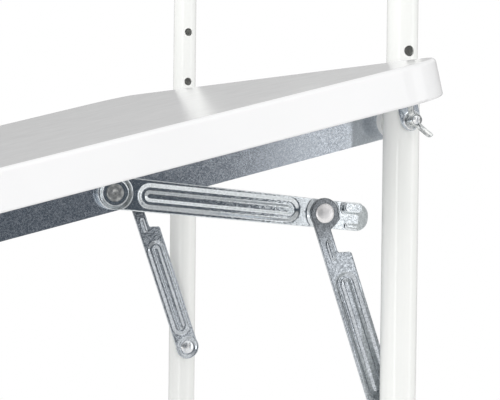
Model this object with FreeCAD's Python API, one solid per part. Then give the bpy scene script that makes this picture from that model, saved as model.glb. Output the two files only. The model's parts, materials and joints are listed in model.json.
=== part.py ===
import FreeCAD, Part
import math
import os

# Balcony railing bar table: a moulded top on two galvanised aprons, hinged to two posts that
# hang from the railing by bent hook tubes and carry a two-piece folding brace on each side.
# Millimetres. X runs along the railing, -Y points to the person at the table, +Z is up.
# The origin is on top of the railing, midway between the hooks. The top is modelled part folded.

from FreeCAD import Placement, Rotation, Vector

# Frame tubes
post_spacing = 398.0
post_diameter = 22.2
post_wall = 1.2
post_above_pivot = 30.0
post_below_pivot = 330.0
hook_wall = 1.2
hook_mouth = 70.0
hook_bend_radius = 38.0
hook_drop = 60.0
hook_below_pivot = 40.0
pivot_below_rail = 180.0
height_hole_pitch = 42.0
height_hole_count = 4
cap_wall = 1.6
cap_length = 24.0
foot_cap_height = 9.0
foot_plug_length = 16.0

# Lower crossbar that rests against the railing
crossbar_above_foot = 34.0
crossbar_diameter = 22.2
crossbar_wall = 1.2
crossbar_overhang = 24.0
saddle_thickness = 3.0
saddle_length = 26.0
saddle_width = 18.0

# Tabletop
top_width = 610.0
top_depth = 460.0
top_corner_radius = 36.0
top_edge_radius = 2.5
top_height = 21.4
top_above_pivot = 37.8
top_behind_gap = 12.0
panel_thickness = 11.0
skirt_wall = 7.0
skirt_foot_radius = 1.5
rib_thickness = 3.0
rib_drop = 5.0
rib_count_across = 4
rib_count_along = 5
rib_bay_margin = 12.0
fold_angle = 14.4

# Aprons and outer ears
apron_gauge = 1.5
apron_below_pivot = 10.6
apron_length = 425.0
apron_flange = 20.0
apron_bend_radius = 1.2
apron_front_chamfer = 8.0
ear_gauge = 2.0
ear_width = 12.6
ear_arm_length = 72.0
ear_flange = 16.0
bracket_notch_clearance = 1.0
skirt_clearance = 0.6

# Folding braces
brace_arm_on_top = 181.6
brace_arm_on_post = 184.0
upper_link_length = 131.9
lower_link_length = 134.4
upper_width_at_apron = 19.4
upper_rise_at_tip = 8.1
upper_drop_at_tip = 9.0
lower_width = 19.0
apron_end_radius = 10.0
apron_end_offset = 1.4
foot_end_radius = 10.0
link_gauge = 1.8
stamp_depth = 1.2
stamp_slope = 2.0
bead_half_width = 7.4
bead_island_half_width = 1.7
island_slope = 1.3
apron_bead_gap = 13.0
foot_bead_gap = 12.0
upper_bead_knee_gap = 15.7
lower_bead_start = 38.6
dish_radius = 9.8
dish_depth = 3.4
dish_slope = 1.8
foot_dish_radius = 8.8
knee_boss_radius = 10.6
knee_disc_radius = 9.4
knee_reach = 31.2
knee_reach_corner = 7.6
neck_side_inset = 0.3
neck_right_edge = 0.8
neck_end = 26.4
neck_corner_radius = 2.2
notch_top_at_edge = 6.9
notch_top_at_neck = 10.9
notch_top_inset = 0.8
shoulder_rise = 1.4
shoulder_radius = 2.0
neck_rib_start = 18.5
neck_rib_end = 27.6
neck_rib_offset = 3.3
neck_rib_half_width = 1.6
reach_rib_start = 17.2
reach_rib_end = 23.9
reach_rib_offset = 6.4
reach_rib_half_width = 1.4
rib_height = 0.7
lock_start = 12.5
lock_end = 26.4
lock_low = 1.4
lock_high = 8.6
lock_height = 3.1
lock_corner_radius = 2.6
lock_draft = 0.8

# Fasteners
pivot_bolt_diameter = 6.0
pivot_bolt_tip = 10.4
bolt_chamfer = 0.7
pivot_head_diameter = 13.0
pivot_head_height = 3.2
washer_diameter = 12.0
washer_thickness = 1.6
washer_edge_radius = 0.3
spacer_neck_diameter = 11.0
spacer_flange_diameter = 22.0
spacer_flange_inset = 0.9
spacer_flange_wrap = 4.4
wing_collar_diameter = 8.6
wing_collar_top_diameter = 7.8
wing_collar_height = 6.6
wing_span = 25.0
wing_rise = 5.6
wing_thickness = 1.9
wing_tip_radius = 3.4
wing_root_setback = 0.6
wing_hip_rise = 2.2
wing_hip_reach = 2.2
wing_turn = 34.0
rivet_shank_diameter = 6.0
knee_head_radius = 6.2
knee_head_height = 1.9
apron_head_radius = 5.4
apron_head_height = 0.9
foot_head_radius = 5.6
foot_bolt_head_height = 1.6
rivet_tail_radius = 4.8
rivet_tail_height = 1.1
foot_spacer_diameter = 14.0
foot_spacer_thickness = 1.0
nut_across_flats = 10.0
nut_height = 5.0
foot_bolt_tip = 7.6
crossbar_bolt_diameter = 5.0
crossbar_head_radius = 5.0
crossbar_head_height = 2.6
crossbar_nut_across_flats = 8.0
crossbar_nut_height = 4.0
screw_diameter = 4.0
screw_head_radius = 4.2
screw_head_height = 2.2
screw_bite = 8.0
screw_rows_on_apron = 4
screw_margin = 34.0
ear_screw_setback = 10.0
ear_screw_margin = 8.0
bolt_end_past_nut = 1.5

# Clearances between pieces
slip = 0.05
rub = 0.3
bolt_hole_clearance = 0.3
tube_slide_clearance = 0.375

# How far a cutter runs past the piece that it cuts
past = 5.0

os.makedirs("parts", exist_ok=True)

# Places worked out from the sizes
post_radius = post_diameter / 2
hook_radius = post_radius - post_wall - tube_slide_clearance
post_x = post_spacing / 2
post_y = -(hook_mouth / 2 + hook_radius)
pivot = Vector(0, post_y, -pivot_below_rail)
foot_pivot = Vector(0, post_y, pivot.z - brace_arm_on_post)
post_foot_z = pivot.z - post_below_pivot
inner_face = post_x - post_radius
outer_face = post_x + post_radius
ear_in = outer_face + rub
ear_out = ear_in + ear_gauge
hole_radius = pivot_bolt_diameter / 2 + bolt_hole_clearance
tilt = math.radians(fold_angle)

# Layers of one brace, counted inward from the post's inner face
lower_boss_out = foot_spacer_thickness + slip
lower_out = lower_boss_out + stamp_depth
lower_in = lower_out + link_gauge
upper_boss_out = lower_in + slip
upper_out = lower_in + stamp_depth + rub
upper_in = upper_out + link_gauge
apron_out = upper_in + dish_depth + rub
apron_in = apron_out + apron_gauge

X_AXIS = Vector(1, 0, 0)
Y_AXIS = Vector(0, 1, 0)
Z_AXIS = Vector(0, 0, 1)


def knee_position():
    """The knee lies on the pivot's side of the line from the apron rivet to the foot bolt."""
    top_end = pivot + Vector(0, -brace_arm_on_top * math.cos(tilt), -brace_arm_on_top * math.sin(tilt))
    span = foot_pivot - top_end
    along = (span.Length ** 2 + upper_link_length ** 2 - lower_link_length ** 2) / (2 * span.Length)
    rise = math.sqrt(upper_link_length ** 2 - along ** 2)
    toward_foot = Vector(span).normalize()
    toward_pivot = Vector(0, -toward_foot.z, toward_foot.y)
    return top_end, top_end + toward_foot * along + toward_pivot * rise


brace_top, knee = knee_position()


def cylinder_x(radius, x_from, x_to, centre):
    """A round bar along X between two X values, on the axis through centre."""
    base = Vector(min(x_from, x_to), centre.y, centre.z)
    return Part.makeCylinder(radius, abs(x_to - x_from), base, X_AXIS)


def cylinder_y(radius, y_from, y_to, x, z):
    """A round bar along Y."""
    return Part.makeCylinder(radius, abs(y_to - y_from), Vector(x, min(y_from, y_to), z), Y_AXIS)


def cylinder_z(radius, z_from, z_to, x, y):
    """A round bar along Z."""
    return Part.makeCylinder(radius, abs(z_to - z_from), Vector(x, y, min(z_from, z_to)), Z_AXIS)


def domed_head(radius, height, x_base, outward, centre):
    """A rivet head: a spherical cap on a low rim, whose flat side is at x_base."""
    rise = height * 0.75
    ball_radius = (radius ** 2 + rise ** 2) / (2 * rise)
    half_angle = math.asin(radius / ball_radius) / 2

    def at(along, out):
        return Vector(x_base + outward * along, centre.y + out, centre.z)
    top = at(height, 0)
    rim = at(height - rise, radius)
    crown = at(height - ball_radius * (1 - math.cos(half_angle)), ball_radius * math.sin(half_angle))
    half_section = Part.Wire([
        Part.LineSegment(at(0, 0), at(0, radius)).toShape(),
        Part.LineSegment(at(0, radius), rim).toShape(),
        Part.Arc(rim, crown, top).toShape(),
        Part.LineSegment(top, at(0, 0)).toShape()])
    return Part.Face(half_section).revolve(Vector(0, centre.y, centre.z), X_AXIS, 360)


def hexagon_nut(across_flats, height, x_from, centre, bore_radius):
    """A hexagon nut along +X with a chamfered outer face."""
    corner = across_flats / math.sqrt(3)
    points = []
    for i in range(7):
        angle = math.radians(60 * i)
        offset = Vector(0, corner * math.cos(angle), corner * math.sin(angle))
        points.append(Vector(x_from, centre.y, centre.z) + offset)
    body = Part.Face(Part.makePolygon(points)).extrude(X_AXIS * height)
    cone = Part.makeCone(corner + height * 0.35, corner - height * 0.15, height,
                         Vector(x_from, centre.y, centre.z), X_AXIS)
    bore = cylinder_x(bore_radius, x_from, x_from + height, centre)
    return body.common(cone).cut(bore)


def racetrack(start, end, offset, half_width, x):
    """A stadium-shaped wire in a plane of constant X, drawn in a link's own U and V axes."""
    a = Vector(x, start, offset + half_width)
    b = Vector(x, end, offset + half_width)
    c = Vector(x, end, offset - half_width)
    d = Vector(x, start, offset - half_width)
    right = Part.Arc(b, Vector(x, end + half_width, offset), c).toShape()
    left = Part.Arc(d, Vector(x, start - half_width, offset), a).toShape()
    return Part.Wire([Part.LineSegment(a, b).toShape(), right, Part.LineSegment(c, d).toShape(), left])


def pressed_form(start, end, offset, half_width, depth, slope, x_face):
    """What a press tool with sloped walls displaces at a face: towards -X, or +X if depth is negative."""
    mouth = racetrack(start, end, offset, half_width, x_face)
    floor = racetrack(start, end, offset, half_width - slope, x_face - depth)
    return Part.makeLoft([mouth, floor], True, True)


def pressed_disc(u, radius, depth, slope, x_face):
    """A round pressing: depth is positive towards -X and negative towards +X."""
    direction = X_AXIS * (-1 if depth > 0 else 1)
    return Part.makeCone(radius, radius - slope, abs(depth), Vector(x_face, u, 0), direction)


def place_link(shape, start, end):
    """Put a link drawn along its U axis between two pivots of the (Y, Z) plane."""
    angle = math.degrees(math.atan2(end.z - start.z, end.y - start.y))
    placed = shape.copy()
    placed.rotate(Vector(0, 0, 0), X_AXIS, angle)
    placed.translate(Vector(0, start.y, start.z))
    return placed


def double_bead(start, end, x_out):
    """The racetrack-shaped groove of a link: what leaves the outer face and what joins the inner."""
    cut_out = pressed_form(start, end, 0, bead_half_width, stamp_depth, stamp_slope, x_out)
    cut_in = pressed_form(start, end, 0, bead_half_width, stamp_depth, stamp_slope, x_out - link_gauge)
    island_out = pressed_form(start, end, 0, bead_island_half_width, stamp_depth, -island_slope, x_out)
    island_in = pressed_form(start, end, 0, bead_island_half_width, stamp_depth, -island_slope,
                             x_out - link_gauge)
    return cut_out.cut(island_out), cut_in.cut(island_in)


def small_rib(start, end, offset, half_width, x_out):
    """A short rib pressed outward: what joins the outer face and what leaves the inner."""
    return [pressed_form(start, end, offset, half_width, -rib_height, rib_height, x)
            for x in (x_out, x_out - link_gauge)]


def upper_link():
    """Brace link from the apron rivet to the knee, with its locking reach beyond the knee."""
    x_out = inner_face - upper_out
    x_in = inner_face - upper_in
    half_a = upper_width_at_apron / 2
    high, low = upper_rise_at_tip, -upper_drop_at_tip
    tip = upper_link_length + knee_reach
    corner = knee_reach_corner
    lean = math.sqrt(apron_end_radius ** 2 - half_a ** 2) - apron_end_offset
    top_left = Vector(x_in, lean, half_a)
    top_right = Vector(x_in, tip - corner, high)
    tip_top = Vector(x_in, tip, high - corner)
    tip_low = Vector(x_in, tip, low + corner)
    low_right = Vector(x_in, tip - corner, low)
    low_left = Vector(x_in, lean, -half_a)
    mid = corner * (1 - math.sqrt(0.5))
    outline = Part.Wire([
        Part.LineSegment(top_left, top_right).toShape(),
        Part.Arc(top_right, Vector(x_in, tip - mid, high - mid), tip_top).toShape(),
        Part.LineSegment(tip_top, tip_low).toShape(),
        Part.Arc(tip_low, Vector(x_in, tip - mid, low + mid), low_right).toShape(),
        Part.LineSegment(low_right, low_left).toShape(),
        Part.Arc(low_left, Vector(x_in, -apron_end_radius - apron_end_offset, 0), top_left).toShape()])
    blank = Part.Face(outline)
    sheet = blank.extrude(X_AXIS * link_gauge)

    # The double bead is pressed inward, and the short rib of the reach outward
    groove, ridge = double_bead(apron_bead_gap + bead_half_width,
                                upper_link_length - upper_bead_knee_gap - bead_half_width, x_out)
    rib, rib_hollow = small_rib(upper_link_length + reach_rib_start, upper_link_length + reach_rib_end,
                                -reach_rib_offset, reach_rib_half_width, x_out)

    # The dish hides the apron rivet's head, and the knee boss meets the lower link
    dish = [pressed_disc(0, dish_radius, dish_depth, dish_slope, x) for x in (x_out, x_in)]
    boss_height = upper_out - upper_boss_out
    boss = [pressed_disc(upper_link_length, knee_boss_radius, -boss_height, boss_height * 0.8, x)
            for x in (x_out, x_in)]
    inside_outline = blank.extrude(X_AXIS * (link_gauge + boss_height))

    # The lock block stands out of the reach and drops into the lower link's notch when straight
    block = lock_block(x_out, 0)
    block_hollow = lock_block(x_in, link_gauge * 0.5)
    body = sheet.fuse([ridge, rib, dish[1], boss[0].common(inside_outline), block])
    body = body.cut([groove, rib_hollow, dish[0], boss[1], block_hollow])
    rivet_hole = cylinder_x(rivet_shank_diameter / 2, x_in - past, x_out + past, Vector(0, 0, 0))
    knee_hole = cylinder_x(rivet_shank_diameter / 2 + slip, x_in - past, x_out + past,
                           Vector(0, upper_link_length, 0))
    return body.cut([rivet_hole, knee_hole]).removeSplitter()


def lock_block(x_face, inset):
    """Rounded block with drafted walls, pressed outward along +X from x_face."""
    def rounded(shrink, x):
        u_from = upper_link_length + lock_start + shrink
        u_to = upper_link_length + lock_end - shrink
        v_from = lock_low + shrink
        v_to = lock_high - shrink
        block = Part.makeBox(1, u_to - u_from, v_to - v_from, Vector(x, u_from, v_from))
        upright = [e for e in block.Edges if e.BoundBox.XLength > 0.5]
        block = block.makeFillet(lock_corner_radius - shrink, upright)
        return min(block.Faces, key=lambda f: f.CenterOfMass.x).OuterWire
    return Part.makeLoft([rounded(inset, x_face), rounded(inset + lock_draft, x_face + lock_height)],
                         True, True)


def lower_link():
    """Brace link from the knee to the foot bolt, necked beside the notch that takes the lock."""
    x_out = inner_face - lower_out
    x_in = inner_face - lower_in
    half = lower_width / 2
    lean = math.sqrt(foot_end_radius ** 2 - half ** 2)
    neck_left = knee_disc_radius - neck_side_inset
    disc_left = math.sqrt(knee_disc_radius ** 2 - neck_left ** 2)
    shoulder = neck_end + shoulder_rise
    bend = 1 - math.sqrt(0.5)

    # Blank with the neck on the left of the axis, and the notch for the lock on its right
    def at(u, v):
        return Vector(x_in, u, v)
    left_knee = at(disc_left, -neck_left)
    left_foot = at(lower_link_length - lean, -half)
    right_foot = at(lower_link_length - lean, half)
    shoulder_out = at(shoulder + shoulder_radius, half)
    shoulder_in = at(shoulder, half - shoulder_radius)
    corner_out = at(neck_end, neck_right_edge + neck_corner_radius)
    corner_in = at(neck_end - neck_corner_radius, neck_right_edge)
    notch_in = at(notch_top_at_neck, neck_right_edge)
    notch_out = at(notch_top_at_edge, knee_disc_radius - notch_top_inset)
    blank = Part.Wire([
        Part.LineSegment(left_knee, left_foot).toShape(),
        Part.Arc(left_foot, at(lower_link_length + foot_end_radius, 0), right_foot).toShape(),
        Part.LineSegment(right_foot, shoulder_out).toShape(),
        Part.Arc(shoulder_out, at(shoulder + shoulder_radius * bend, half - shoulder_radius * bend),
                 shoulder_in).toShape(),
        Part.LineSegment(shoulder_in, corner_out).toShape(),
        Part.Arc(corner_out, at(neck_end - neck_corner_radius * bend,
                                neck_right_edge + neck_corner_radius * bend), corner_in).toShape(),
        Part.LineSegment(corner_in, notch_in).toShape(),
        Part.LineSegment(notch_in, notch_out).toShape(),
        Part.LineSegment(notch_out, at(0, knee_disc_radius)).toShape(),
        Part.LineSegment(at(0, knee_disc_radius), left_knee).toShape()])
    sheet = Part.Face(blank).extrude(X_AXIS * link_gauge)
    disc = cylinder_x(knee_disc_radius, x_in, x_out, Vector(0, 0, 0))

    groove, ridge = double_bead(lower_bead_start + bead_half_width,
                                lower_link_length - foot_bead_gap - bead_half_width, x_out)
    rib, rib_hollow = small_rib(neck_rib_start, neck_rib_end, -neck_rib_offset, neck_rib_half_width, x_out)
    boss = [pressed_disc(lower_link_length, foot_dish_radius, -stamp_depth, stamp_slope, x)
            for x in (x_out, x_in)]
    body = sheet.fuse([disc, ridge, rib, boss[0]])
    body = body.cut([groove, rib_hollow, boss[1]])
    knee_hole = cylinder_x(rivet_shank_diameter / 2, x_in - past, x_out + past, Vector(0, 0, 0))
    foot_hole = cylinder_x(rivet_shank_diameter / 2 + slip, x_in - past, x_out + past,
                           Vector(0, lower_link_length, 0))
    return body.cut([knee_hole, foot_hole]).removeSplitter()


def apron_rivet():
    """Rivet of the upper link at the apron: its head lies in the link's dish."""
    floor_out = inner_face - upper_out - dish_depth
    floor_in = floor_out - link_gauge
    shank = cylinder_x(rivet_shank_diameter / 2, floor_in, floor_out, brace_top)
    return shank.fuse(domed_head(apron_head_radius, apron_head_height, floor_out, 1, brace_top))


def knee_rivet():
    """Rivet of the lower link at the knee: domed head outside, tail in the upper link's hollow."""
    head_base = inner_face - lower_out
    tail_base = inner_face - upper_boss_out - link_gauge - slip
    shank = cylinder_x(rivet_shank_diameter / 2, tail_base, head_base, knee)
    head = domed_head(knee_head_radius, knee_head_height, head_base, 1, knee)
    tail = domed_head(rivet_tail_radius, rivet_tail_height, tail_base, -1, knee)
    return shank.fuse([head, tail])


def foot_bolt():
    """Bolt of the lower link through the post: low head in the link's dish, nut on the far side."""
    head_base = inner_face - lower_boss_out - link_gauge - slip
    shank = cylinder_x(pivot_bolt_diameter / 2, head_base, outer_face + foot_bolt_tip, foot_pivot)
    return shank.fuse(domed_head(foot_head_radius, foot_bolt_head_height, head_base, -1, foot_pivot))


def foot_spacer():
    """Nylon ring between the post and the lower link."""
    ring = cylinder_x(foot_spacer_diameter / 2, inner_face - foot_spacer_thickness, inner_face, foot_pivot)
    bore = cylinder_x(pivot_bolt_diameter / 2 + slip, inner_face - past, inner_face + past, foot_pivot)
    return ring.cut(bore)


def foot_nut():
    """Lock nut of the foot bolt on the post's outer side."""
    return hexagon_nut(nut_across_flats, nut_height, outer_face, foot_pivot, pivot_bolt_diameter / 2)


def pivot_bolt():
    """Long bolt that joins apron, spacer, post, hook tube, ear, washer and wing nut."""
    head_base = inner_face - apron_in - slip
    tip = outer_face + pivot_bolt_tip
    radius = pivot_bolt_diameter / 2
    shank = cylinder_x(radius, head_base, tip - bolt_chamfer, pivot)
    lead = Part.makeCone(radius, radius - bolt_chamfer, bolt_chamfer,
                         Vector(tip - bolt_chamfer, pivot.y, pivot.z), X_AXIS)
    head = domed_head(pivot_head_diameter / 2, pivot_head_height, head_base, -1, pivot)
    return shank.fuse([lead, head])


def pivot_spacer():
    """White nylon spacer: a neck on the apron and a flange that wraps round the post's inner side."""
    far = inner_face - apron_out + slip
    near = inner_face + spacer_flange_wrap
    neck = cylinder_x(spacer_neck_diameter / 2, far, near, pivot)
    flange = cylinder_x(spacer_flange_diameter / 2, inner_face - spacer_flange_inset, near, pivot)
    seat = cylinder_z(post_radius + slip, pivot.z - spacer_flange_diameter,
                      pivot.z + spacer_flange_diameter, post_x, post_y)
    bore = cylinder_x(pivot_bolt_diameter / 2 + slip, far - past, near + past, pivot)
    return neck.fuse(flange).cut([seat, bore])


def pivot_washer():
    """Plain washer under the wing nut."""
    start = ear_out + slip
    ring = cylinder_x(washer_diameter / 2, start, start + washer_thickness, pivot)
    ring = ring.makeFillet(washer_edge_radius, [e for e in ring.Edges if e.BoundBox.XLength < 0.01])
    bore = cylinder_x(pivot_bolt_diameter / 2 + slip, start - past, start + washer_thickness + past, pivot)
    return ring.cut(bore)


def wing_nut():
    """Wing nut: a tapered collar and two upright wings that sweep out and forward."""
    base = ear_out + slip + washer_thickness + slip
    collar = Part.makeCone(wing_collar_diameter / 2, wing_collar_top_diameter / 2, wing_collar_height,
                           Vector(base, pivot.y, pivot.z), X_AXIS)
    reach = wing_span / 2
    tip_x = base + wing_collar_height + wing_rise - wing_tip_radius
    tip_r = reach - wing_tip_radius
    lean = wing_tip_radius * math.cos(math.pi / 4)
    far_out = wing_tip_radius * math.cos(math.pi / 8)
    far_up = wing_tip_radius * math.sin(math.pi / 8)
    wings = []
    for side in (1, -1):
        root_low = Vector(base + wing_root_setback, 0, 0)
        hip = Vector(base + wing_hip_rise, 0, side * (wing_collar_diameter / 2 + wing_hip_reach))
        outer_a = Vector(tip_x - lean, 0, side * (tip_r + lean))
        outer_b = Vector(tip_x + lean, 0, side * (tip_r + lean))
        outer_c = Vector(tip_x + wing_tip_radius, 0, side * tip_r)
        outer_d = Vector(tip_x + lean, 0, side * (tip_r - lean))
        saddle = Vector(base + wing_collar_height, 0,
                        side * (wing_collar_top_diameter / 2 + wing_root_setback))
        root_top = Vector(base + wing_collar_height - wing_root_setback, 0, 0)
        profile = Part.Wire([
            Part.LineSegment(root_low, hip).toShape(),
            Part.LineSegment(hip, outer_a).toShape(),
            Part.Arc(outer_a, Vector(tip_x, 0, side * reach), outer_b).toShape(),
            Part.Arc(outer_b, Vector(tip_x + far_out, 0, side * (tip_r + far_up)), outer_c).toShape(),
            Part.Arc(outer_c, Vector(tip_x + far_out, 0, side * (tip_r - far_up)), outer_d).toShape(),
            Part.LineSegment(outer_d, saddle).toShape(),
            Part.LineSegment(saddle, root_top).toShape(),
            Part.LineSegment(root_top, root_low).toShape()])
        wing = Part.Face(profile).extrude(Y_AXIS * wing_thickness)
        wing.translate(Vector(0, pivot.y - wing_thickness / 2, pivot.z))
        wings.append(wing)
    nut = collar.fuse(wings)
    nut.rotate(pivot, X_AXIS, wing_turn)
    bore = cylinder_x(pivot_bolt_diameter / 2 + slip, base - past, base + wing_collar_height + past, pivot)
    return nut.cut(bore)


def post():
    """Outer tube of one side, with its bores for the pivot bolt and the foot bolt."""
    top = pivot.z + post_above_pivot
    body = cylinder_z(post_radius, post_foot_z, top, post_x, post_y)
    body = body.cut(cylinder_z(post_radius - post_wall, post_foot_z, top, post_x, post_y))
    bores = [cylinder_x(pivot_bolt_diameter / 2 + slip, inner_face - past, outer_face + past, place)
             for place in (pivot, foot_pivot)]
    crossbar_z = post_foot_z + crossbar_above_foot
    bores.append(cylinder_y(crossbar_bolt_diameter / 2 + slip, post_y - post_diameter,
                            post_y + post_diameter, post_x, crossbar_z))
    return body.cut(bores)


def hook_path():
    """Centre line of a hook tube: up the post, over the railing and down behind it."""
    bar_z = hook_radius
    back_y = -post_y
    r = hook_bend_radius
    k = r * (1 - math.sqrt(0.5))
    foot = Vector(post_x, post_y, pivot.z - hook_below_pivot)
    bend_a = Vector(post_x, post_y, bar_z - r)
    bend_b = Vector(post_x, post_y + r, bar_z)
    bend_c = Vector(post_x, back_y - r, bar_z)
    bend_d = Vector(post_x, back_y, bar_z - r)
    tip = Vector(post_x, back_y, -hook_drop)
    return Part.Wire([
        Part.LineSegment(foot, bend_a).toShape(),
        Part.Arc(bend_a, Vector(post_x, post_y + k, bar_z - k), bend_b).toShape(),
        Part.LineSegment(bend_b, bend_c).toShape(),
        Part.Arc(bend_c, Vector(post_x, back_y - k, bar_z - k), bend_d).toShape(),
        Part.LineSegment(bend_d, tip).toShape()])


def pipe(path, radius):
    """A round bar along a path that starts straight up."""
    ring = Part.Wire([Part.Circle(path.Vertexes[0].Point, Z_AXIS, radius).toShape()])
    return path.makePipeShell([ring], True, False)


def hook():
    """Inner tube of one side, bent over the railing, with the row of height holes."""
    path = hook_path()
    body = pipe(path, hook_radius).cut(pipe(path, hook_radius - hook_wall))
    bores = []
    for i in range(height_hole_count):
        place = pivot + Z_AXIS * height_hole_pitch * i
        bores.append(cylinder_x(hole_radius, inner_face - past, outer_face + past, place))
    return body.cut(bores)


def hook_cap():
    """Soft cap over the hook's free end."""
    back_y = -post_y
    inner = hook_radius + slip
    outer = inner + cap_wall
    bottom = -hook_drop - cap_wall - slip
    body = cylinder_z(outer, bottom, bottom + cap_length, post_x, back_y)
    body = body.makeFillet(cap_wall, [body.Edges[i] for i in range(len(body.Edges))
                                      if body.Edges[i].BoundBox.ZMax < bottom + 0.01])
    return body.cut(cylinder_z(inner, -hook_drop - slip, bottom + cap_length, post_x, back_y))


def foot_cap():
    """Plug with a rounded foot in the post's lower end."""
    head = cylinder_z(post_radius, post_foot_z - foot_cap_height, post_foot_z, post_x, post_y)
    low = [e for e in head.Edges if e.BoundBox.ZMax < post_foot_z - foot_cap_height + 0.01]
    head = head.makeFillet(post_radius * 0.35, low)
    bore = post_radius - post_wall - slip
    plug = cylinder_z(bore, post_foot_z, post_foot_z + foot_plug_length, post_x, post_y)
    return head.fuse(plug)


def crossbar():
    """Tube across the back of both posts, which rests against the railing."""
    z = post_foot_z + crossbar_above_foot
    y = post_y + post_radius + saddle_thickness + crossbar_diameter / 2
    half = post_x + post_radius + crossbar_overhang
    place = Vector(0, y, z)
    body = cylinder_x(crossbar_diameter / 2, -half, half, place)
    body = body.cut(cylinder_x(crossbar_diameter / 2 - crossbar_wall, -half, half, place))
    for side in (1, -1):
        body = body.cut(cylinder_y(crossbar_bolt_diameter / 2 + slip, y - crossbar_diameter,
                                   y + crossbar_diameter, side * post_x, z))
    return body


def crossbar_plug():
    """Plastic end plug of the crossbar."""
    z = post_foot_z + crossbar_above_foot
    y = post_y + post_radius + saddle_thickness + crossbar_diameter / 2
    end = post_x + post_radius + crossbar_overhang
    place = Vector(0, y, z)
    head = cylinder_x(crossbar_diameter / 2, end, end + cap_wall * 2, place)
    head = head.makeFillet(cap_wall, [e for e in head.Edges if e.BoundBox.XMin > end + cap_wall])
    bore = crossbar_diameter / 2 - crossbar_wall - slip
    return head.fuse(cylinder_x(bore, end - foot_plug_length, end, place))


def crossbar_saddle():
    """Plastic saddle that seats the crossbar on the round post."""
    z = post_foot_z + crossbar_above_foot
    front = post_y
    back = post_y + post_radius + saddle_thickness + crossbar_diameter / 2
    block = Part.makeBox(saddle_width, back - front, saddle_length,
                         Vector(post_x - saddle_width / 2, front, z - saddle_length / 2))
    post_bar = cylinder_z(post_radius + slip, z - saddle_length, z + saddle_length, post_x, post_y)
    cross = cylinder_x(crossbar_diameter / 2 + slip, post_x - saddle_width, post_x + saddle_width,
                       Vector(0, back, z))
    bolt = cylinder_y(crossbar_bolt_diameter / 2 + slip, front, back + past, post_x, z)
    return max(block.cut([post_bar, cross, bolt]).Solids, key=lambda s: s.Volume)


def crossbar_fasteners():
    """Screw and nut that clamp the crossbar and saddle to the post."""
    z = post_foot_z + crossbar_above_foot
    radius = crossbar_bolt_diameter / 2
    front = post_y - post_radius
    back = post_y + post_radius + saddle_thickness + crossbar_diameter
    head_centre = Vector(0, 0, 0)
    head = domed_head(crossbar_head_radius, crossbar_head_height, 0, 1, head_centre)
    shank = cylinder_x(radius, front - back - crossbar_nut_height - bolt_end_past_nut, 0, head_centre)
    nut = hexagon_nut(crossbar_nut_across_flats, crossbar_nut_height, front - back - crossbar_nut_height,
                      head_centre, radius)
    screw = shank.fuse(head)
    placed = []
    for piece in (screw, nut):
        piece.rotate(Vector(0, 0, 0), Z_AXIS, -90)
        piece.translate(Vector(post_x, front, z))
        placed.append(piece)
    return placed


# The tabletop group is drawn level, with S towards the person and H up from the pivot line
def level_box(x_from, x_to, s_from, s_to, h_from, h_to):
    """A box of the tabletop group, in the level position."""
    return Part.makeBox(x_to - x_from, s_to - s_from, h_to - h_from,
                        Vector(x_from, pivot.y - s_to, pivot.z + h_from))


def level_point(x, s, h):
    """A point of the tabletop group, in the level position."""
    return Vector(x, pivot.y - s, pivot.z + h)


def folded(shape):
    """Turn a piece of the tabletop group about the pivots into the part-folded position."""
    turned = shape.copy()
    turned.rotate(pivot, X_AXIS, fold_angle)
    return turned


def rounded_plate(inset, h_from, h_to):
    """The tabletop's plan with rounded corners, between two heights."""
    half = top_width / 2 - inset
    box = level_box(-half, half, top_behind_gap + inset, top_behind_gap + top_depth - inset, h_from, h_to)
    upright = [e for e in box.Edges if e.BoundBox.ZLength > (h_to - h_from) * 0.9]
    return box.makeFillet(top_corner_radius - inset, upright)


def screw_places():
    """Level X and S of every screw that holds an apron or an ear to the tabletop, right side."""
    apron_x = inner_face - apron_in - apron_flange * 0.55
    first = top_behind_gap + screw_margin
    last = apron_length - screw_margin
    step = (last - first) / (screw_rows_on_apron - 1)
    places = [(apron_x, first + step * i, apron_gauge) for i in range(screw_rows_on_apron)]
    ear_x = ear_out + ear_flange * 0.55
    places.append((ear_x, top_behind_gap + skirt_wall + ear_screw_setback, ear_gauge))
    places.append((ear_x, ear_arm_length - ear_screw_margin, ear_gauge))
    return places


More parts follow.
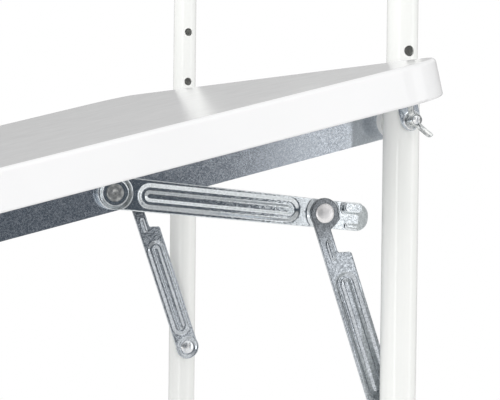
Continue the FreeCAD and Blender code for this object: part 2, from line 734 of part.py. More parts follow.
def tabletop():
    """Moulded top: crisp rounded edge, deep skirt, ribbed underside, notches for the brackets."""
    top = top_above_pivot
    skirt_bottom = top - top_height
    underside = top - panel_thickness
    body = rounded_plate(0, skirt_bottom, top)
    rim = [e for e in body.Edges if e.BoundBox.ZMin > pivot.z + top - 0.01]
    body = body.makeFillet(top_edge_radius, rim)
    foot = [e for e in body.Edges if e.BoundBox.ZMax < pivot.z + skirt_bottom + 0.01]
    body = body.makeFillet(skirt_foot_radius, foot)
    body = body.cut(rounded_plate(skirt_wall, skirt_bottom, underside))

    # Ribs: a lattice between the aprons and cross ribs in the two overhangs
    inner_limit = inner_face - apron_in - apron_flange - rib_bay_margin
    outer_limit = ear_out + ear_flange + rib_bay_margin
    wall_x = top_width / 2 - skirt_wall
    s_front = top_behind_gap + top_depth - skirt_wall
    s_back = top_behind_gap + skirt_wall
    ribs = []
    for i in range(rib_count_across + 1):
        x = -inner_limit + 2 * inner_limit * i / rib_count_across
        ribs.append(level_box(x - rib_thickness / 2, x + rib_thickness / 2, s_back, s_front,
                              underside - rib_drop, underside))
    for i in range(1, rib_count_along + 1):
        s = s_back + (s_front - s_back) * i / (rib_count_along + 1)
        low, high = s - rib_thickness / 2, s + rib_thickness / 2
        ribs.append(level_box(-inner_limit, inner_limit, low, high, underside - rib_drop, underside))
        for side in (1, -1):
            x_pair = sorted((side * outer_limit, side * wall_x))
            ribs.append(level_box(x_pair[0], x_pair[1], low, high, underside - rib_drop, underside))
    body = body.fuse(ribs)

    # Notches in the back skirt where the aprons and ears pass, and pilot holes for the screws
    cuts = []
    for side in (1, -1):
        for start, gauge in ((inner_face - apron_in, apron_gauge), (ear_in, ear_gauge)):
            x_pair = sorted((side * (start - bracket_notch_clearance),
                             side * (start + gauge + bracket_notch_clearance)))
            cuts.append(level_box(x_pair[0], x_pair[1], top_behind_gap - 1, s_back + 1,
                                  skirt_bottom - 1, underside))
        for x, s, gauge in screw_places():
            base = level_point(side * x, s, underside)
            cuts.append(Part.makeCylinder(screw_diameter / 2 + slip, screw_bite, base, Z_AXIS))
    body = body.cut(cuts).removeSplitter()
    return folded(body)


def apron():
    """Galvanised angle under the top: a web that carries pivot and brace, and a screwed flange."""
    underside = top_above_pivot - panel_thickness
    x_web_out = inner_face - apron_out
    x_web_in = inner_face - apron_in
    x_flange = x_web_in - apron_flange
    clear_s = top_behind_gap + skirt_wall + skirt_clearance
    end_r = apron_below_pivot

    # Web outline, drawn in S and H
    def at(s, h):
        return level_point(x_web_in, s, h)
    front_low = at(apron_length - apron_front_chamfer, -end_r)
    front_high = at(apron_length, apron_front_chamfer - end_r)
    web_wire = Part.Wire([
        Part.LineSegment(at(0, -end_r), front_low).toShape(),
        Part.LineSegment(front_low, front_high).toShape(),
        Part.LineSegment(front_high, at(apron_length, underside)).toShape(),
        Part.LineSegment(at(apron_length, underside), at(clear_s, underside)).toShape(),
        Part.LineSegment(at(clear_s, underside), at(0, end_r)).toShape(),
        Part.Arc(at(0, end_r), at(-end_r, 0), at(0, -end_r)).toShape()])
    web = Part.Face(web_wire).extrude(X_AXIS * apron_gauge)
    flange = level_box(x_flange, x_web_out, clear_s, apron_length, underside - apron_gauge, underside)
    body = web.fuse(flange).removeSplitter()
    corner = [e for e in body.Edges if e.BoundBox.XLength < 0.01 and abs(e.BoundBox.XMin - x_web_out) < 0.01
              and e.BoundBox.YLength > 200 and e.BoundBox.ZMin > pivot.z + underside - 0.01]
    body = body.makeFillet(apron_bend_radius, corner)
    cuts = [cylinder_x(hole_radius, x_flange, x_web_out + past, pivot)]
    for x, s, gauge in screw_places()[:screw_rows_on_apron]:
        base = level_point(x, s, underside - past)
        cuts.append(Part.makeCylinder(screw_diameter / 2 + slip, 2 * past, base, Z_AXIS))
    return folded(body.cut(cuts))


def ear():
    """Galvanised ear on the post's outer side: round end on the bolt, arm and flange under the top."""
    underside = top_above_pivot - panel_thickness
    skirt_bottom = top_above_pivot - top_height
    x_in = ear_in
    x_out = ear_out
    half = ear_width / 2
    clear_s = top_behind_gap + skirt_wall + skirt_clearance

    def at(s, h):
        return level_point(x_in, s, h)
    wire = Part.Wire([
        Part.Arc(at(-half, 0), at(0, -half), at(half, 0)).toShape(),
        Part.LineSegment(at(half, 0), at(half, skirt_bottom)).toShape(),
        Part.LineSegment(at(half, skirt_bottom), at(ear_arm_length, skirt_bottom)).toShape(),
        Part.LineSegment(at(ear_arm_length, skirt_bottom), at(ear_arm_length, underside)).toShape(),
        Part.LineSegment(at(ear_arm_length, underside), at(-half, underside)).toShape(),
        Part.LineSegment(at(-half, underside), at(-half, 0)).toShape()])
    plate = Part.Face(wire).extrude(X_AXIS * ear_gauge)
    upright = [e for e in plate.Edges if e.BoundBox.XLength > ear_gauge * 0.9
               and abs(e.BoundBox.YMin - (pivot.y + half)) < 0.01 and e.BoundBox.ZMin > pivot.z + 2]
    plate = plate.makeFillet(ear_gauge * 1.5, upright)
    flange = level_box(x_in, x_out + ear_flange, clear_s, ear_arm_length, underside - ear_gauge, underside)
    body = plate.fuse(flange).removeSplitter()
    cuts = [cylinder_x(hole_radius, x_in - past, x_out + past, pivot)]
    for x, s, gauge in screw_places()[screw_rows_on_apron:]:
        base = level_point(x, s, underside - past)
        cuts.append(Part.makeCylinder(screw_diameter / 2 + slip, 2 * past, base, Z_AXIS))
    return folded(body.cut(cuts))


def tabletop_screws():
    """Pan-head screws, driven up through the aprons and ears into the top."""
    underside = top_above_pivot - panel_thickness
    screws = []
    for x, s, gauge in screw_places():
        seat = level_point(x, s, underside - gauge)
        shank = Part.makeCylinder(screw_diameter / 2, gauge + screw_bite - 0.5, seat, Z_AXIS)
        base = seat - Z_AXIS * screw_head_height
        head = Part.makeCylinder(screw_head_radius, screw_head_height, base, Z_AXIS)
        low = [e for e in head.Edges if e.BoundBox.ZMax < seat.z - screw_head_height + 0.01]
        head = head.makeFillet(screw_head_height * 0.6, low)
        screws.append(folded(shank.fuse(head)))
    return screws


def mirrored(shape):
    """The left-hand twin of a right-hand piece."""
    return shape.mirror(Vector(0, 0, 0), X_AXIS)


def write(name, shapes):
    """Write one node as a STEP file: one solid, or a group of separate solids."""
    solids = []
    for shape in shapes:
        if not shape.isValid():
            raise ValueError(name + " is not a valid solid")
        solids.extend(shape.Solids)
    node = solids[0] if len(solids) == 1 else Part.makeCompound(solids)
    node.exportStep("parts/" + name + ".step")
    print(name, len(solids), round(sum(s.Volume for s in solids), 1))


placed_upper_link = place_link(upper_link(), brace_top, knee)
placed_lower_link = place_link(lower_link(), knee, foot_pivot)

handed_pieces = {
    "post": post(),
    "hook": hook(),
    "hook_cap": hook_cap(),
    "foot_cap": foot_cap(),
    "crossbar_plug": crossbar_plug(),
    "crossbar_saddle": crossbar_saddle(),
    "apron": apron(),
    "pivot_ear": ear(),
    "pivot_bolt": pivot_bolt(),
    "pivot_spacer": pivot_spacer(),
    "pivot_washer": pivot_washer(),
    "wing_nut": wing_nut(),
    "upper_link": placed_upper_link,
    "lower_link": placed_lower_link,
    "apron_rivet": apron_rivet(),
    "knee_rivet": knee_rivet(),
    "foot_bolt": foot_bolt(),
    "foot_nut": foot_nut(),
    "foot_spacer": foot_spacer(),
}
for name, shape in handed_pieces.items():
    write(name + "_right", [shape])
    write(name + "_left", [mirrored(shape)])

write("tabletop", [tabletop()])
write("crossbar", [crossbar()])
for name, pieces in (("crossbar_fasteners", crossbar_fasteners()), ("tabletop_screws", tabletop_screws())):
    write(name, pieces + [mirrored(piece) for piece in pieces])
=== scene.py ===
import bpy
import json
import math
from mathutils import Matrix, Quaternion, Vector

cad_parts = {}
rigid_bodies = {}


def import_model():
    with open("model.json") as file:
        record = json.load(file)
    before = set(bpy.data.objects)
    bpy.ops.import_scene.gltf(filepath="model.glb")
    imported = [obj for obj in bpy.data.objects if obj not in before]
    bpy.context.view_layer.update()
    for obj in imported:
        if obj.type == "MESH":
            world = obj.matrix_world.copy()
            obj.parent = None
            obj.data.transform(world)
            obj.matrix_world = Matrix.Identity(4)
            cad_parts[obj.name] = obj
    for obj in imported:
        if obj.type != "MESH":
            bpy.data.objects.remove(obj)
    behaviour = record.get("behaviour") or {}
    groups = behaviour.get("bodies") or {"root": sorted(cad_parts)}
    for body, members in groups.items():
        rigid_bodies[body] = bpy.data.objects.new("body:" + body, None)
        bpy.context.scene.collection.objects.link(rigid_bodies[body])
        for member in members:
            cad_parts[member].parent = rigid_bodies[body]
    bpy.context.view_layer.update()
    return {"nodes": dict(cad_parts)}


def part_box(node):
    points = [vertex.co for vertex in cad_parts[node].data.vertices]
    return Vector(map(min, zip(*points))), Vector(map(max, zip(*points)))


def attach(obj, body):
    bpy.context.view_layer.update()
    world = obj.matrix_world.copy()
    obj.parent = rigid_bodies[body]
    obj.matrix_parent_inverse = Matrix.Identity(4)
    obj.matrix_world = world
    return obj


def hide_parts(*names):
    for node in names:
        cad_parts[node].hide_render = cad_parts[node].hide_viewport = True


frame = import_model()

for thing in bpy.data.objects:
    thing.select_set(False)

# The camera stands at the table's right-hand side, a little below the top, where the photograph
# was taken from. Place, heading and lens come from a fit to the edges of the photograph.
camera_place = (1.01910, -0.47608, -0.20758)
camera_heading = 0.384856
camera_pitch = -0.023967
camera_roll = 0.010991
sight = Vector((-math.cos(camera_heading) * math.cos(camera_pitch),
                math.sin(camera_heading) * math.cos(camera_pitch),
                math.sin(camera_pitch)))
bpy.ops.object.camera_add(location=camera_place)
camera = bpy.context.object
camera.rotation_mode = "QUATERNION"
camera.rotation_quaternion = sight.to_track_quat("-Z", "Y") @ Quaternion((0, 0, 1), camera_roll)
camera.data.sensor_width = 36
camera.data.lens = 108.275
camera.data.clip_start = 0.05
camera.data.clip_end = 80
bpy.context.scene.camera = camera
bpy.context.scene.view_settings.view_transform = "Standard"


# The studio room: a white wall for the camera and a plain light from all round. In the metal and
# the gloss the wall behind the table is grey and pales towards its sides, the ceiling is bright,
# and the room behind the camera is dim and a little blue.
def feed(tree, socket, value):
    """Links a socket to the output it is given, or sets it to the number or colour."""
    if isinstance(value, bpy.types.NodeSocket):
        tree.links.new(value, socket)
    else:
        socket.default_value = value


def lay(tree, kind, **sockets):
    """Adds a shader node and feeds its sockets by name."""
    made = tree.nodes.new("ShaderNode" + kind)
    for name, value in sockets.items():
        feed(tree, made.inputs[name.replace("_", " ")], value)
    return made


def calculate(tree, kind, operation, *values):
    """The result of a Math or VectorMath node on values and outputs."""
    made = lay(tree, kind)
    made.operation = operation
    for socket, value in zip(made.inputs, values):
        feed(tree, socket, value)
    return next(output for output in made.outputs if output.enabled)


def stretched(tree, amount, start, end, low=0, high=1):
    """An amount that runs from start to end, made to run from low to high."""
    made = lay(tree, "MapRange", Value=amount, From_Min=start, From_Max=end, To_Min=low,
               To_Max=high)
    return made.outputs["Result"]


def shades(tree, amount, *steps):
    """A colour ramp over an amount, with a colour, or a number for a grey, at each position."""
    made = lay(tree, "ValToRGB", Fac=amount)
    ramp = made.color_ramp.elements
    while len(ramp) < len(steps):
        ramp.new(0.5)
    for step, (position, colour) in zip(ramp, steps):
        step.position = position
        step.color = (*colour, 1) if isinstance(colour, tuple) else (colour, colour, colour, 1)
    return made.outputs["Color"]


def mixed(tree, way, under, over, share):
    """One colour laid over another, in one of the Mix node's ways."""
    made = lay(tree, "Mix")
    made.data_type = "RGBA"
    made.blend_type = way
    feed(tree, made.inputs["A"], under)
    feed(tree, made.inputs["B"], over)
    feed(tree, made.inputs["Factor"], share)
    return made.outputs["Result"]


world = bpy.data.worlds.new("studio")
bpy.context.scene.world = world
world.use_nodes = True
room = world.node_tree
direction = lay(room, "TexCoord").outputs["Generated"]
behind_table = (-0.927, 0.375, 0)
toward_wall = calculate(room, "VectorMath", "DOT_PRODUCT", direction, behind_table)
walls = shades(room, stretched(room, toward_wall, -1, 1),
               (0.00, (0.07, 0.085, 0.105)), (0.18, (0.09, 0.105, 0.125)),
               (0.40, (0.45, 0.46, 0.47)), (0.62, 0.66), (0.85, 0.38), (1.00, 0.33))
height = stretched(room, lay(room, "SeparateXYZ", Vector=direction).outputs["Z"], -1, 1)
ceiling = shades(room, height, (0.52, 0), (0.60, 0.40), (0.70, 1), (1.00, 1))
fill = shades(room, height, (0.5, 1.16), (0.9, 0.56))
white = (1, 1, 1, 1)
seen = mixed(room, "LIGHTEN", walls, ceiling, 1)
ray = lay(room, "LightPath")
for kind, colour in (("Is Diffuse Ray", fill), ("Is Transmission Ray", white),
                     ("Is Camera Ray", white)):
    seen = mixed(room, "MIX", seen, colour, ray.outputs[kind])
room.links.new(seen, room.nodes["Background"].inputs["Color"])


def softbox(name, place, aim, width, height, power):
    """A rectangular studio lamp that faces a point of the object."""
    bpy.ops.object.light_add(type="AREA", location=place)
    lamp = bpy.context.object
    lamp.name = name
    lamp.data.shape = "RECTANGLE"
    lamp.data.size = width
    lamp.data.size_y = height
    lamp.data.energy = power
    lamp.rotation_euler = (Vector(aim) - Vector(place)).to_track_quat("-Z", "Y").to_euler()


softbox("overhead_softbox", (0.5, -0.6, 2.2), (0, -0.25, -0.2), width=1.8, height=1.8, power=3)
softbox("strip_softbox", (1.65, -1.75, -0.1), (0.2, -0.05, -0.2), width=0.35, height=1.6, power=6)
softbox("side_softbox", (2.53, 1.02, -0.2), (0.2, -0.15, -0.2), width=0.22, height=1.6, power=1.45)
softbox("key_softbox", (2.0, -0.85, 1.6), (0.2, -0.2, -0.2), width=1.2, height=1.2, power=6)
softbox("fill_softbox", (0.8, -2.5, -0.4), (0.2, 0, -0.3), width=2.0, height=1.6, power=8)
softbox("rear_softbox", (1.75, 2.15, -0.4), (0.1, 0, -0.3), width=1.2, height=1.6, power=8)

# The floor is plain and matt. It lies as far below the railing's top as a balcony floor does, and
# shows white to the camera and in the metal and the gloss.
floor_drop = 1.05
bpy.ops.mesh.primitive_plane_add(size=7, location=(0, 0, -floor_drop))
floor = bpy.context.object
floor.name = "floor"
pale = bpy.data.materials.new("pale_floor")
pale.use_nodes = True
tree = pale.node_tree
surface = tree.nodes["Principled BSDF"]
surface.inputs["Base Color"].default_value = (0.75, 0.75, 0.75, 1)
surface.inputs["Roughness"].default_value = 0.9
surface.inputs["Emission Color"].default_value = (0.28, 0.28, 0.28, 1)
ray = lay(tree, "LightPath")
lightened = ray.outputs["Is Camera Ray"]
for kind in ("Is Glossy Ray", "Is Transmission Ray"):
    lightened = calculate(tree, "Math", "MAXIMUM", lightened, ray.outputs[kind])
tree.links.new(lightened, surface.inputs["Emission Strength"])
floor.data.materials.append(pale)


# The posts, the hook tubes that slide in them and the crossbar are round steel tube in gloss
# white powder coat, which flows into a faint orange peel. The hooks are bent, the rest cut.
def new_finish(name, roughness, metallic=0.0):
    """A material, its node tree, its shader and the place on the piece."""
    finish = bpy.data.materials.new(name)
    finish.use_nodes = True
    tree = finish.node_tree
    surface = tree.nodes["Principled BSDF"]
    surface.inputs["Metallic"].default_value = metallic
    surface.inputs["Roughness"].default_value = roughness
    return finish, tree, surface, lay(tree, "TexCoord").outputs["Object"]


def between(tree, noise, low, high):
    """A noise, which mostly lies from 0.3 to 0.7, made to run from low to high."""
    return stretched(tree, noise, 0.3, 0.7, low, high)


def cover(tree, surface, colour, roughness):
    """Gives a surface the patterns of its colour and its roughness."""
    tree.links.new(colour, surface.inputs["Base Color"])
    tree.links.new(roughness, surface.inputs["Roughness"])


def relief(tree, surface, amount, strength, distance):
    """Raises the surface by an amount, as light sees it."""
    made = lay(tree, "Bump", Height=amount, Strength=strength, Distance=distance)
    tree.links.new(made.outputs["Normal"], surface.inputs["Normal"])


def dress(finish, *nodes):
    """Gives CAD nodes their finish."""
    for name in nodes:
        slots = frame["nodes"][name].data.materials
        slots.clear()
        slots.append(finish)


def pair(name):
    """The names of a right-hand node or body and its left-hand twin."""
    return [name + "_right", name + "_left"]


powder_coat, tree, surface, place = new_finish("white_powder_coat", 0.10)
clouds = lay(tree, "TexNoise", Vector=place, Scale=17, Detail=3).outputs["Fac"]
peel = lay(tree, "TexNoise", Vector=place, Scale=620, Detail=2).outputs["Fac"]
cover(tree, surface,
      shades(tree, clouds, (0.3, (0.905, 0.915, 0.890)), (0.7, (0.925, 0.930, 0.910))),
      between(tree, clouds, 0.08, 0.13))
relief(tree, surface, peel, strength=0.10, distance=0.0002)
dress(powder_coat, "crossbar", *pair("post"), *pair("hook"))

# Plugs and caps close the tube ends, and saddles seat the crossbar on the posts: grey moulded
# plastic with a fine spark-eroded grain.
grey_plastic, tree, surface, place = new_finish("grey_plastic", 0.5)
mottle = lay(tree, "TexNoise", Vector=place, Scale=90, Detail=4).outputs["Fac"]
stipple = lay(tree, "TexVoronoi", Vector=place, Scale=1500).outputs["Distance"]
cover(tree, surface,
      shades(tree, mottle, (0.3, (0.50, 0.51, 0.51)), (0.7, (0.57, 0.575, 0.57))),
      between(tree, mottle, 0.42, 0.6))
relief(tree, surface, stipple, strength=0.25, distance=0.0002)
dress(grey_plastic, *pair("hook_cap"), *pair("foot_cap"), *pair("crossbar_plug"),
      *pair("crossbar_saddle"))

# The top is one moulding of white polyethylene with a fine pebble from its mould and a soft
# gloss. Faint clouds and sink marks show in what it reflects.
moulded_plastic, tree, surface, place = new_finish("white_moulded_plastic", 0.2)
sinks = lay(tree, "TexNoise", Vector=place, Scale=11, Detail=2).outputs["Fac"]
waves = lay(tree, "TexNoise", Vector=place, Scale=70, Detail=2).outputs["Fac"]
pebble = lay(tree, "TexVoronoi", Vector=place, Scale=1100)
pebble.feature = "SMOOTH_F1"
pebble_share = 0.35
cover(tree, surface,
      shades(tree, sinks, (0.3, (0.875, 0.875, 0.880)), (0.7, (0.905, 0.905, 0.908))),
      between(tree, waves, 0.16, 0.18))
grain = calculate(tree, "Math", "MULTIPLY_ADD", pebble.outputs["Distance"], pebble_share, waves)
relief(tree, surface, grain, strength=0.015, distance=0.0003)
dress(moulded_plastic, "tabletop")

# Spacers of white nylon keep the aprons and the braces off the posts. They are turned from bar
# and keep a dull, slightly clouded skin.
nylon, tree, surface, place = new_finish("white_nylon", 0.4)
cloud = lay(tree, "TexNoise", Vector=place, Scale=240, Detail=4).outputs["Fac"]
cover(tree, surface,
      shades(tree, cloud, (0.3, (0.76, 0.775, 0.78)), (0.7, (0.84, 0.845, 0.83))),
      between(tree, cloud, 0.34, 0.5))
relief(tree, surface, cloud, strength=0.12, distance=0.0002)
dress(nylon, *pair("pivot_spacer"), *pair("foot_spacer"))


# Aprons and ears are folded from hot-dip galvanised sheet: a grey zinc skin of small bright and
# dull crystals, each of which lies a little its own way and catches the light by itself.
def zinc_skin(name, dull, bright, lean, roughness):
    """Galvanised steel whose crystals run from dull to bright, each tipped its own way."""
    finish, tree, surface, place = new_finish(name, roughness[0], 1.0)
    crystals = lay(tree, "TexVoronoi", Vector=place, Scale=1400).outputs["Color"]
    crystal = lay(tree, "SeparateColor", Color=crystals)
    specks = lay(tree, "TexNoise", Vector=place, Scale=1150, Detail=3).outputs["Fac"]
    patina = lay(tree, "TexNoise", Vector=place, Scale=30, Detail=5).outputs["Fac"]
    crystal_share, speck_share, patina_share = 0.5, 0.4, 0.15
    grey = calculate(tree, "Math", "MULTIPLY_ADD", crystal.outputs["Red"], crystal_share,
                     between(tree, specks, 0, speck_share))
    grey = calculate(tree, "Math", "ADD", grey, between(tree, patina, 0, patina_share))
    cover(tree, surface, shades(tree, grey, (0, dull), (1, bright)),
          between(tree, crystal.outputs["Green"], *roughness))
    tilt = calculate(tree, "VectorMath", "MULTIPLY_ADD", crystals, (lean, lean, lean),
                     (-lean / 2, -lean / 2, -lean / 2))
    face = lay(tree, "NewGeometry").outputs["Normal"]
    tree.links.new(calculate(tree, "VectorMath", "ADD", face, tilt), surface.inputs["Normal"])
    return finish


angle_zinc = zinc_skin("galvanised_sheet", dull=(0.47, 0.51, 0.56), bright=(0.77, 0.81, 0.86),
                       lean=0.008, roughness=(0.17, 0.24))
dress(angle_zinc, *pair("apron"), *pair("pivot_ear"))


# The brace links are stamped from the same sheet. The press leaves soft shoulders on the double
# bead, the dish, the knee boss and the lock, and a rounded sheared edge. The lower links are
# duller, and their colour is darkened round the knee rivet.
def middle(node):
    """Centre of a CAD node's box, and its lowest and highest X."""
    low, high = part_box(node)
    return Vector([(a + b) / 2 for a, b in zip(low, high)]), low[0], high[0]


def darken_round_rivet(finish, rivet, dark_radius, clean_radius, light_left):
    """Leaves a finish part of its light round a rivet's line, fading out between the radii."""
    tree = finish.node_tree
    colour = tree.nodes["Principled BSDF"].inputs["Base Color"]
    centre, _, _ = middle(rivet)
    place = lay(tree, "TexCoord").outputs["Object"]
    from_the_side = calculate(tree, "VectorMath", "MULTIPLY", place, (0, 1, 1))
    away = calculate(tree, "VectorMath", "DISTANCE", from_the_side, (0, centre.y, centre.z))
    darkened = stretched(tree, away, dark_radius, clean_radius, light_left, 1)
    tree.links.new(mixed(tree, "MULTIPLY", colour.links[0].from_socket, darkened, 1), colour)


def stamped(node, body, finish):
    """The link of a CAD node with the rounded forms that a press tool leaves."""
    source = frame["nodes"][node]
    piece = bpy.data.objects.new(node.replace("link", "stamping"), source.data.copy())
    bpy.context.collection.objects.link(piece)
    bpy.ops.object.select_all(action="DESELECT")
    piece.select_set(True)
    bpy.context.view_layer.objects.active = piece
    bpy.ops.mesh.customdata_custom_splitnormals_clear()
    bpy.ops.object.mode_set(mode="EDIT")
    bpy.ops.mesh.select_all(action="SELECT")
    bpy.ops.mesh.remove_doubles(threshold=0.000002)
    bpy.ops.object.mode_set(mode="OBJECT")
    skin = piece.modifiers.new("skin", "REMESH")
    skin.mode = "VOXEL"
    skin.voxel_size = 0.00034
    soft = piece.modifiers.new("soft", "SMOOTH")
    soft.factor = 0.5
    soft.iterations = 5
    for step in ("skin", "soft"):
        bpy.ops.object.modifier_apply(modifier=step)
    bpy.ops.object.shade_smooth()
    piece.data.materials.clear()
    piece.data.materials.append(finish)
    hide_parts(node)
    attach(piece, body)


stamping_zinc = zinc_skin("galvanised_stamping", dull=(0.54, 0.57, 0.59),
                          bright=(0.88, 0.92, 0.94), lean=0.022, roughness=(0.08, 0.16))
dull_zinc = zinc_skin("galvanised_stamping_dull", dull=(0.25, 0.27, 0.29),
                      bright=(0.74, 0.78, 0.82), lean=0.035, roughness=(0.11, 0.20))
# The lower links' colour is darkened round the knee rivet.
darken_round_rivet(dull_zinc, "knee_rivet_right", dark_radius=0.009, clean_radius=0.021, light_left=0.42)
for side in ("right", "left"):
    stamped("upper_link_" + side, "upper_brace_" + side, stamping_zinc)
    stamped("lower_link_" + side, "lower_brace_" + side, dull_zinc)


# The foot nuts, the top's screws and the crossbar's fasteners are cold-headed steel in bright
# zinc: a clear skin with a trace of blue, fine rubbing marks and small dull pits.
def plating(name, dull, middling, bright, roughness):
    """Zinc plate over steel, worn in patches from dull to bright."""
    finish, tree, surface, place = new_finish(name, roughness[0], 1.0)
    wear = lay(tree, "TexNoise", Vector=place, Scale=330, Detail=5).outputs["Fac"]
    pits = lay(tree, "TexNoise", Vector=place, Scale=1300, Detail=2).outputs["Fac"]
    cover(tree, surface, shades(tree, wear, (0.3, dull), (0.5, middling), (0.7, bright)),
          between(tree, pits, *roughness))
    relief(tree, surface, pits, strength=0.06, distance=0.0002)
    return finish


bright_zinc = plating("zinc_plated_steel", dull=(0.68, 0.71, 0.75), middling=(0.78, 0.80, 0.82),
                      bright=(0.88, 0.87, 0.86), roughness=(0.16, 0.28))
dress(bright_zinc, "tabletop_screws", "crossbar_fasteners", *pair("foot_nut"))


# The knee rivets join the links of each brace. They are steel, with a smooth round head outside
# and a peened tail behind, and were tumbled to a soft shine.
def turned(name, finish, outline, centre):
    """A piece turned about a line along X: its half outline is drawn point by point, then spun."""
    start_x, start_radius = outline[0]
    bpy.ops.mesh.primitive_plane_add(size=0.001,
                                     location=(start_x, centre.y, centre.z + start_radius))
    piece = bpy.context.object
    piece.name = name
    bpy.ops.object.transform_apply(location=True)
    bpy.ops.object.mode_set(mode="EDIT")
    bpy.ops.mesh.select_all(action="SELECT")
    bpy.ops.mesh.merge(type="CENTER")
    for (x, radius), (next_x, next_radius) in zip(outline, outline[1:]):
        stroke = (next_x - x, 0, next_radius - radius)
        bpy.ops.mesh.extrude_vertices_move(TRANSFORM_OT_translate={"value": stroke})
    bpy.ops.mesh.select_all(action="SELECT")
    bpy.ops.mesh.spin(steps=56, angle=math.tau, center=centre, axis=(1, 0, 0))
    bpy.ops.mesh.select_all(action="SELECT")
    bpy.ops.mesh.remove_doubles(threshold=0.000001)
    bpy.ops.mesh.normals_make_consistent(inside=False)
    bpy.ops.object.mode_set(mode="OBJECT")
    bpy.ops.object.shade_smooth_by_angle(angle=math.radians(32))
    piece.data.materials.append(finish)
    return piece


def dome(top, radius, height):
    """Outline of a round head from its crown to its rim. A negative height turns it over."""
    turns = [math.radians(degrees) for degrees in range(0, 91, 9)]
    return [(top - height * (1 - math.cos(turn)), radius * math.sin(turn)) for turn in turns]


def mirrored(piece):
    """The left-hand twin of a right-hand piece, with a mesh of its own."""
    twin = bpy.data.objects.new(piece.name.replace("right", "left"), piece.data.copy())
    bpy.context.collection.objects.link(twin)
    bpy.ops.object.select_all(action="DESELECT")
    twin.select_set(True)
    bpy.context.view_layer.objects.active = twin
    bpy.ops.object.mode_set(mode="EDIT")
    bpy.ops.mesh.select_all(action="SELECT")
    bpy.ops.transform.resize(value=(-1, 1, 1), center_override=(0, 0, 0))
    bpy.ops.mesh.normals_make_consistent(inside=False)
    bpy.ops.object.mode_set(mode="OBJECT")
    return twin


def install(piece, nodes, bodies):
    """A right-hand piece and its twin stand for their CAD nodes and move with their bodies."""
    for made, node, body in zip((piece, mirrored(piece)), nodes, bodies):
        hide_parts(node)
        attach(made, body)


tumbled_zinc = plating("tumbled_zinc", dull=(0.80, 0.79, 0.79), middling=(0.88, 0.86, 0.86),
                       bright=(0.93, 0.91, 0.91), roughness=(0.36, 0.46))
shank_radius = 0.003
head_radius, head_height = 0.0061, 0.0016
peened_radius, peened_height = 0.0048, 0.0009
centre, tail, crown = middle("knee_rivet_right")
under_head = crown - head_height - 0.0003
under_tail = tail + peened_height + 0.0002
knee_rivet = turned("knee_rivet_turned_right", tumbled_zinc,
                    dome(crown, head_radius, head_height)
                    + [(under_head, head_radius - 0.0002), (under_head, shank_radius),
                       (under_tail, shank_radius), (under_tail, peened_radius - 0.0002)]
                    + dome(tail, peened_radius, -peened_height)[::-1], centre)
install(knee_rivet, pair("knee_rivet"), pair("lower_brace"))

# The rivets at the aprons are steel with a flat, set-down head in the link's dish, in a dark,
# mottled zinc.
dark_mottled_zinc = plating("dark_mottled_zinc", dull=(0.20, 0.20, 0.20), middling=(0.36, 0.37, 0.37),
                       bright=(0.62, 0.62, 0.60), roughness=(0.26, 0.46))
depths_and_radii = ((0.0003, 0), (0.0003, 0.0012), (0.0001, 0.0017), (0, 0.0024), (0, 0.0034),
                    (0.0001, 0.0044), (0.0003, 0.0050), (0.0006, 0.0053), (0.0009, 0.0054),
                    (0.0009, shank_radius))
centre, tail, crown = middle("apron_rivet_right")
apron_rivet = turned("apron_rivet_turned_right", dark_mottled_zinc,
                     [(crown - depth, radius) for depth, radius in depths_and_radii]
                     + [(tail, shank_radius), (tail, 0)], centre)
install(apron_rivet, pair("apron_rivet"), pair("upper_brace"))


# The foot bolts and the pivot bolts are cold-headed steel with the same zinc skin: a low round
# head inside, and a rolled thread on the end that takes the nut.
def thread(tip, length):
    """Outline of a threaded end, from the dimple in its chamfered tip back."""
    pitch, groove_depth = 0.001, 0.0006
    points = [(tip - 0.0013, 0), (tip - 0.0012, 0.0006), (tip - 0.0001, 0.0012), (tip, 0.0014),
              (tip, shank_radius - 0.0013), (tip - 0.0003, shank_radius - 0.0009),
              (tip - 0.0012, shank_radius - 0.0004)]
    ridge = tip - 0.0017
    while ridge > tip - length:
        points += [(ridge, shank_radius), (ridge - pitch / 2, shank_radius - groove_depth)]
        ridge -= pitch
    return points + [(ridge, shank_radius)]


for name, head_radius, head_height, thread_length in (("foot_bolt", 0.0056, 0.0016, 0.010),
                                                      ("pivot_bolt", 0.0065, 0.0032, 0.014)):
    centre, crown, tip = middle(name + "_right")
    under_head = crown + head_height
    bolt = turned(name + "_turned_right", bright_zinc,
                  thread(tip, thread_length)
                  + [(under_head, shank_radius), (under_head, head_radius - 0.0002)]
                  + dome(crown, head_radius, -head_height + 0.0003)[::-1], centre)
    install(bolt, pair(name), ("frame", "frame"))

# A plain washer lies on each pivot bolt under its wing nut. It is punched from steel sheet, which
# rounds its outer edges, and zinc plated.
bore_radius, washer_radius = 0.00306, 0.006
centre, seat, top = middle("pivot_washer_right")
washer = turned("pivot_washer_punched_right", bright_zinc,
                [(seat, bore_radius), (seat, 0.0058), (seat + 0.0003, washer_radius),
                 (top - 0.0005, washer_radius), (top - 0.0002, 0.0059), (top, 0.0056),
                 (top, 0.0034), (top - 0.0003, bore_radius), (seat, bore_radius)], centre)
install(washer, pair("pivot_washer"), ("frame", "frame"))

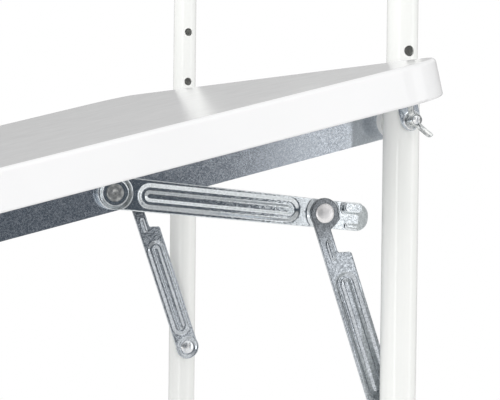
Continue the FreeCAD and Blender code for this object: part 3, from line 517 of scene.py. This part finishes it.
# The wing nuts are zinc-plated castings: a tapered collar with two wings that sweep out from it
# and end in a round thumb rest. Each stands turned as it was left when it was tightened.
cast_zinc = plating("cast_zinc", dull=(0.24, 0.25, 0.25), middling=(0.56, 0.58, 0.58),
                    bright=(0.90, 0.90, 0.88), roughness=(0.14, 0.30))
collar_heights_and_radii = ((0, bore_radius), (0, 0.0040), (0.0003, 0.0042), (0.0040, 0.0039),
                            (0.0047, 0.0037), (0.0050, 0.0033), (0.0050, bore_radius),
                            (0, bore_radius))
centre, seat, _ = middle("wing_nut_right")
wing_nut = turned("wing_nut_cast_right", cast_zinc,
                  [(seat + height, radius) for height, radius in collar_heights_and_radii], centre)
root = dict(out=0.0024, along=0.0027, width=0.0046, thickness=0.0040)
wing_stages = (dict(out=0.0042, along=0.0030, width=0.0046, thickness=0.0042),
               dict(out=0.0058, along=0.0043, width=0.0044, thickness=0.0040),
               dict(out=0.0078, along=0.0061, width=0.0044, thickness=0.0040),
               dict(out=0.0096, along=0.0079, width=0.0046, thickness=0.0042),
               dict(out=0.0112, along=0.0096, width=0.0044, thickness=0.0040),
               dict(out=0.0117, along=0.0101, width=0.0026, thickness=0.0024))
for way in (1, -1):
    last = root
    last_place = Vector((seat + last["along"], centre.y, centre.z + way * last["out"]))
    bpy.ops.mesh.primitive_cube_add(size=1, location=last_place,
                                    scale=(last["width"], last["thickness"], 0.0012))
    wing = bpy.context.object
    bpy.ops.object.transform_apply(location=True, rotation=True, scale=True)
    bpy.ops.object.mode_set(mode="EDIT")
    bpy.ops.mesh.select_all(action="DESELECT")
    bpy.ops.object.mode_set(mode="OBJECT")
    for face in wing.data.polygons:
        face.select = face.normal.z * way > 0.9
    bpy.ops.object.mode_set(mode="EDIT")
    bpy.ops.mesh.select_mode(type="FACE")
    for stage in wing_stages:
        place = Vector((seat + stage["along"], centre.y, centre.z + way * stage["out"]))
        bpy.ops.mesh.extrude_region_move(TRANSFORM_OT_translate={"value": place - last_place})
        bpy.ops.transform.resize(value=(stage["width"] / last["width"],
                                        stage["thickness"] / last["thickness"], 1),
                                 center_override=place)
        last, last_place = stage, place
    bpy.ops.object.mode_set(mode="OBJECT")
    soft = wing.modifiers.new("soft", "SUBSURF")
    soft.levels = soft.render_levels = 3
    bpy.ops.object.modifier_apply(modifier="soft")
    bpy.ops.object.shade_smooth()
    wing.data.materials.append(cast_zinc)
    wing_nut.select_set(True)
    bpy.context.view_layer.objects.active = wing_nut
    bpy.ops.object.join()
bpy.ops.object.mode_set(mode="EDIT")
bpy.ops.mesh.select_all(action="SELECT")
left_turned_by = math.radians(-36)
bpy.ops.transform.rotate(value=left_turned_by, orient_axis="X", center_override=centre)
bpy.ops.object.mode_set(mode="OBJECT")
install(wing_nut, pair("wing_nut"), pair("wing"))
